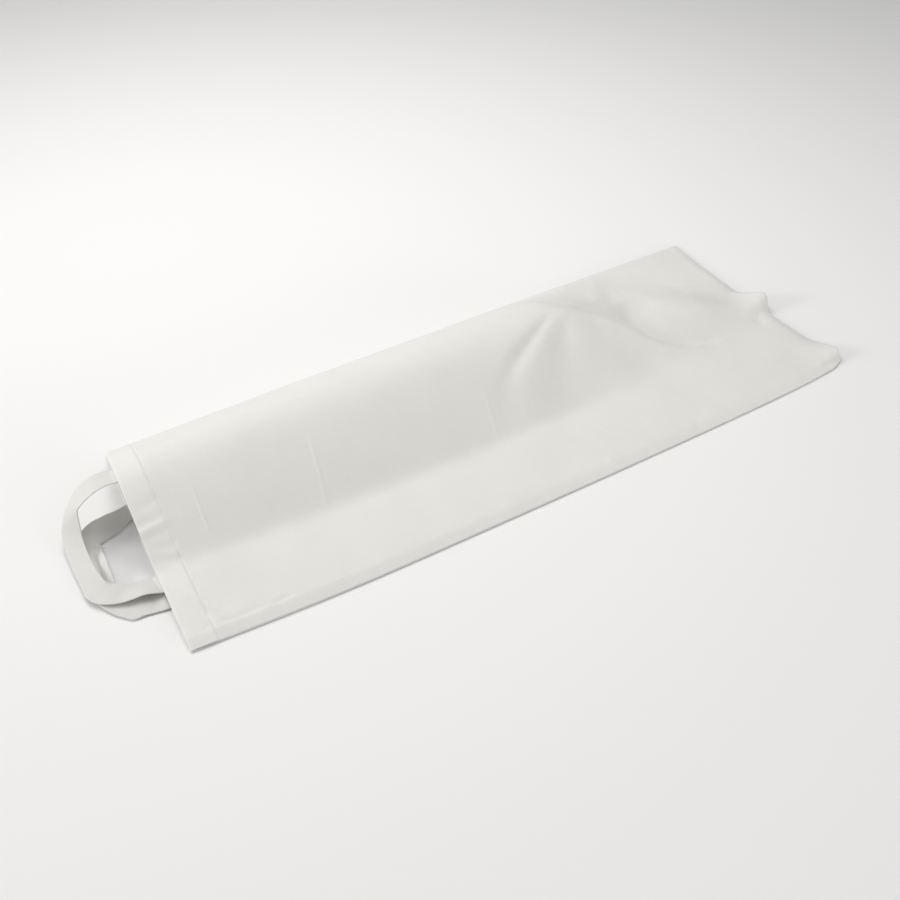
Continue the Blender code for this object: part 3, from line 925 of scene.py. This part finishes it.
# From one sewn end round to the other: the tape's middle, which way its outer edge points, how far
# that edge hangs down (degrees), and how deep the tape is folded along its length.
Station = namedtuple("Station", "along across up heading tilt fold")
FRONT_HANDLE = (
    Station(0.0190, 0.1590, 0.0500, 90, 8, 0),
    Station(0.0100, 0.1600, 0.0500, 90, 8, 0),
    Station(0.0000, 0.1615, 0.0502, 90, 8, 0),
    Station(-0.0090, 0.1640, 0.0496, 90, 6, 0),
    Station(-0.0190, 0.1645, 0.0474, 91, 2, 0),
    Station(-0.0295, 0.1645, 0.0422, 96, 5, 0),
    Station(-0.0365, 0.1645, 0.0360, 104, 14, 0),
    Station(-0.0415, 0.1635, 0.0305, 116, 26, 0),
    Station(-0.0450, 0.1610, 0.0240, 129, 27, 0),
    Station(-0.0475, 0.1575, 0.0175, 136, 19, 0),
    Station(-0.0495, 0.1520, 0.0118, 139, 12, 0),
    Station(-0.0505, 0.1420, 0.0074, 143, 9, 0),
    Station(-0.0502, 0.1270, 0.0054, 146, 12, 0),
    Station(-0.0490, 0.1110, 0.0050, 151, 12, 0),
    Station(-0.0470, 0.0980, 0.0046, 162, 10, 0),
    Station(-0.0450, 0.0892, 0.0050, 202, 4, 0),
    Station(-0.0393, 0.0827, 0.0050, 232, 0, 0),
    Station(-0.0310, 0.0785, 0.0050, 254, -3, 0),
    Station(-0.0225, 0.0755, 0.0056, 258, -9, 0),
    Station(-0.0140, 0.0735, 0.0062, 262, -15, 0),
    Station(-0.0065, 0.0715, 0.0060, 268, -13, 0),
    Station(0.0000, 0.0705, 0.0050, 270, -4, 0),
    Station(0.0100, 0.0700, 0.0044, 270, 0, 0),
    Station(0.0190, 0.0700, 0.0044, 270, 0, 0),
)
BACK_HANDLE = (
    Station(0.0190, 0.0560, 0.0022, 270, 0, 0),
    Station(0.0110, 0.0560, 0.0022, 270, 0, 0),
    Station(0.0000, 0.0565, 0.0020, 270, 0, 0),
    Station(-0.0100, 0.0585, 0.0009, 268, 0, 0),
    Station(-0.0190, 0.0605, 0.0009, 264, 0, 0),
    Station(-0.0265, 0.0610, 0.0010, 256, 0, 0),
    Station(-0.0305, 0.0665, 0.0012, 236, 0, 0),
    Station(-0.0350, 0.0730, 0.0014, 214, 0, 0.0005),
    Station(-0.0385, 0.0800, 0.0016, 196, 1, 0.0015),
    Station(-0.0415, 0.0905, 0.0017, 183, 2, 0.0030),
    Station(-0.0412, 0.1040, 0.0028, 180, 9, 0.0040),
    Station(-0.0410, 0.1180, 0.0036, 180, 14, 0.0040),
    Station(-0.0415, 0.1300, 0.0026, 178, 6, 0.0025),
    Station(-0.0405, 0.1395, 0.0028, 164, -6, 0.0010),
    Station(-0.0375, 0.1470, 0.0050, 130, -20, 0),
    Station(-0.0315, 0.1505, 0.0070, 100, -36, 0),
    Station(-0.0230, 0.1530, 0.0066, 88, -32, 0),
    Station(-0.0135, 0.1570, 0.0046, 86, -18, 0),
    Station(-0.0060, 0.1620, 0.0028, 88, -6, 0),
    Station(0.0000, 0.1650, 0.0022, 90, 0, 0),
    Station(0.0110, 0.1665, 0.0022, 90, 0, 0),
    Station(0.0190, 0.1670, 0.0022, 90, 0, 0),
)
FOLD_LINE = 0.42  # where across the tape its lengthwise fold lies, from its inner edge
FOLD_WIDTH = 0.16  # share of the tape's width
FOLD_LIFT = 0.6  # share of the fold's depth by which the tape's edges rise
HEM_TO_TAPE = LAYER + SHEET / 2 + CLEAR + TAPE / 2


def under_hem(along, across):
    """Middle of a tape under the upper panel's hem."""
    along = np.maximum(along, 0.0)
    return upper_middle(along, across) - HEM_TO_TAPE * steepness(upper_middle, along, across)


def over_hem(along, across):
    """Middle of a tape on the lower panel's hem."""
    return lower_middle(np.maximum(along, 0.0), across) + HEM_TO_TAPE


def tape(name, stations, sewn, material, seed):
    """A handle: its middle surface through the stations, against its hem inside the mouth."""
    table = [(i, *station) for i, station in enumerate(stations)]
    place = np.linspace(0, len(stations) - 1, TAPE_ROWS + 1)
    along, across, up, heading, tilt, fold = (c[:, None] for c in smooth_row(table, place))
    heading, tilt = np.radians(heading), np.radians(tilt)
    share = np.linspace(0, 1, TAPE_COLUMNS + 1)[None, :]
    out = (share - 0.5) * TAPE_WIDTH
    crease = np.maximum(fold, 0.0) * np.exp(-np.abs(share - FOLD_LINE) / FOLD_WIDTH)
    along = along + out * np.cos(tilt) * np.cos(heading)
    across = across + out * np.cos(tilt) * np.sin(heading)
    up = up - out * np.sin(tilt) - crease + np.maximum(fold, 0.0) * FOLD_LIFT
    free = ease((-along - TAPE_FREE[0]) / TAPE_FREE[1])
    up = up + TAPE_SWELL * free * (1 + uneven(along, across, SWELL_SIZE, seed))
    inside = ease((along - TAPE_LEAVES[0]) / (TAPE_LEAVES[1] - TAPE_LEAVES[0]))
    up = up + (sewn(along, across) - up) * inside
    up = np.maximum(up, TAPE / 2)
    x, y = on_table(along, across)
    points = np.stack([x, y, up], axis=-1)
    run = np.linalg.norm(np.diff(points[:, TAPE_COLUMNS // 2], axis=0), axis=1)
    run = np.concatenate([[0.0], np.cumsum(run)])

    bm = bmesh.new()
    verts = [[bm.verts.new(p) for p in row] for row in points]
    flat = bm.loops.layers.uv.new("flat_cloth")
    for i in range(TAPE_ROWS):
        for j in range(TAPE_COLUMNS):
            square = ((i, j), (i + 1, j), (i + 1, j + 1), (i, j + 1))
            face = bm.faces.new([verts[a][b] for a, b in square])
            face.smooth = True
            for loop, (a, b) in zip(face.loops, square):
                loop[flat].uv = (run[a], share[0, b] * TAPE_WIDTH)
    bmesh.ops.recalc_face_normals(bm, faces=bm.faces)
    mesh = bpy.data.meshes.new(name)
    bm.to_mesh(mesh)
    bm.free()
    mesh.materials.append(material)
    handle = bpy.data.objects.new(name, mesh)
    bpy.context.collection.objects.link(handle)
    solid = handle.modifiers.new("tape_thickness", "SOLIDIFY")
    solid.thickness = TAPE
    solid.offset = 0.0
    soft_edge = handle.modifiers.new("soft_edge", "BEVEL")
    soft_edge.width = TAPE * SOFT_EDGE
    soft_edge.segments = 2
    soft_edge.limit_method = "ANGLE"
    soft_edge.angle_limit = math.radians(60)
    return handle, run[-1]


TAPE_DARK = (0.63, 0.618, 0.592, 1.0)
TAPE_LIGHT = (0.785, 0.777, 0.752, 1.0)
TAPE_THREADS = 1800.0  # a metre
tape_linen = linen("tape_linen", TAPE_DARK, TAPE_LIGHT, TAPE_THREADS)
handle_front, front_length = tape("front_tape", FRONT_HANDLE, under_hem, tape_linen, 21.0)
handle_back, back_length = tape("back_tape", BACK_HANDLE, over_hem, tape_linen, 34.0)
for handle, node, run in (
    (handle_front, "handle_front", front_length),
    (handle_back, "handle_back", back_length),
):
    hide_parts(node)
    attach(handle, "root")
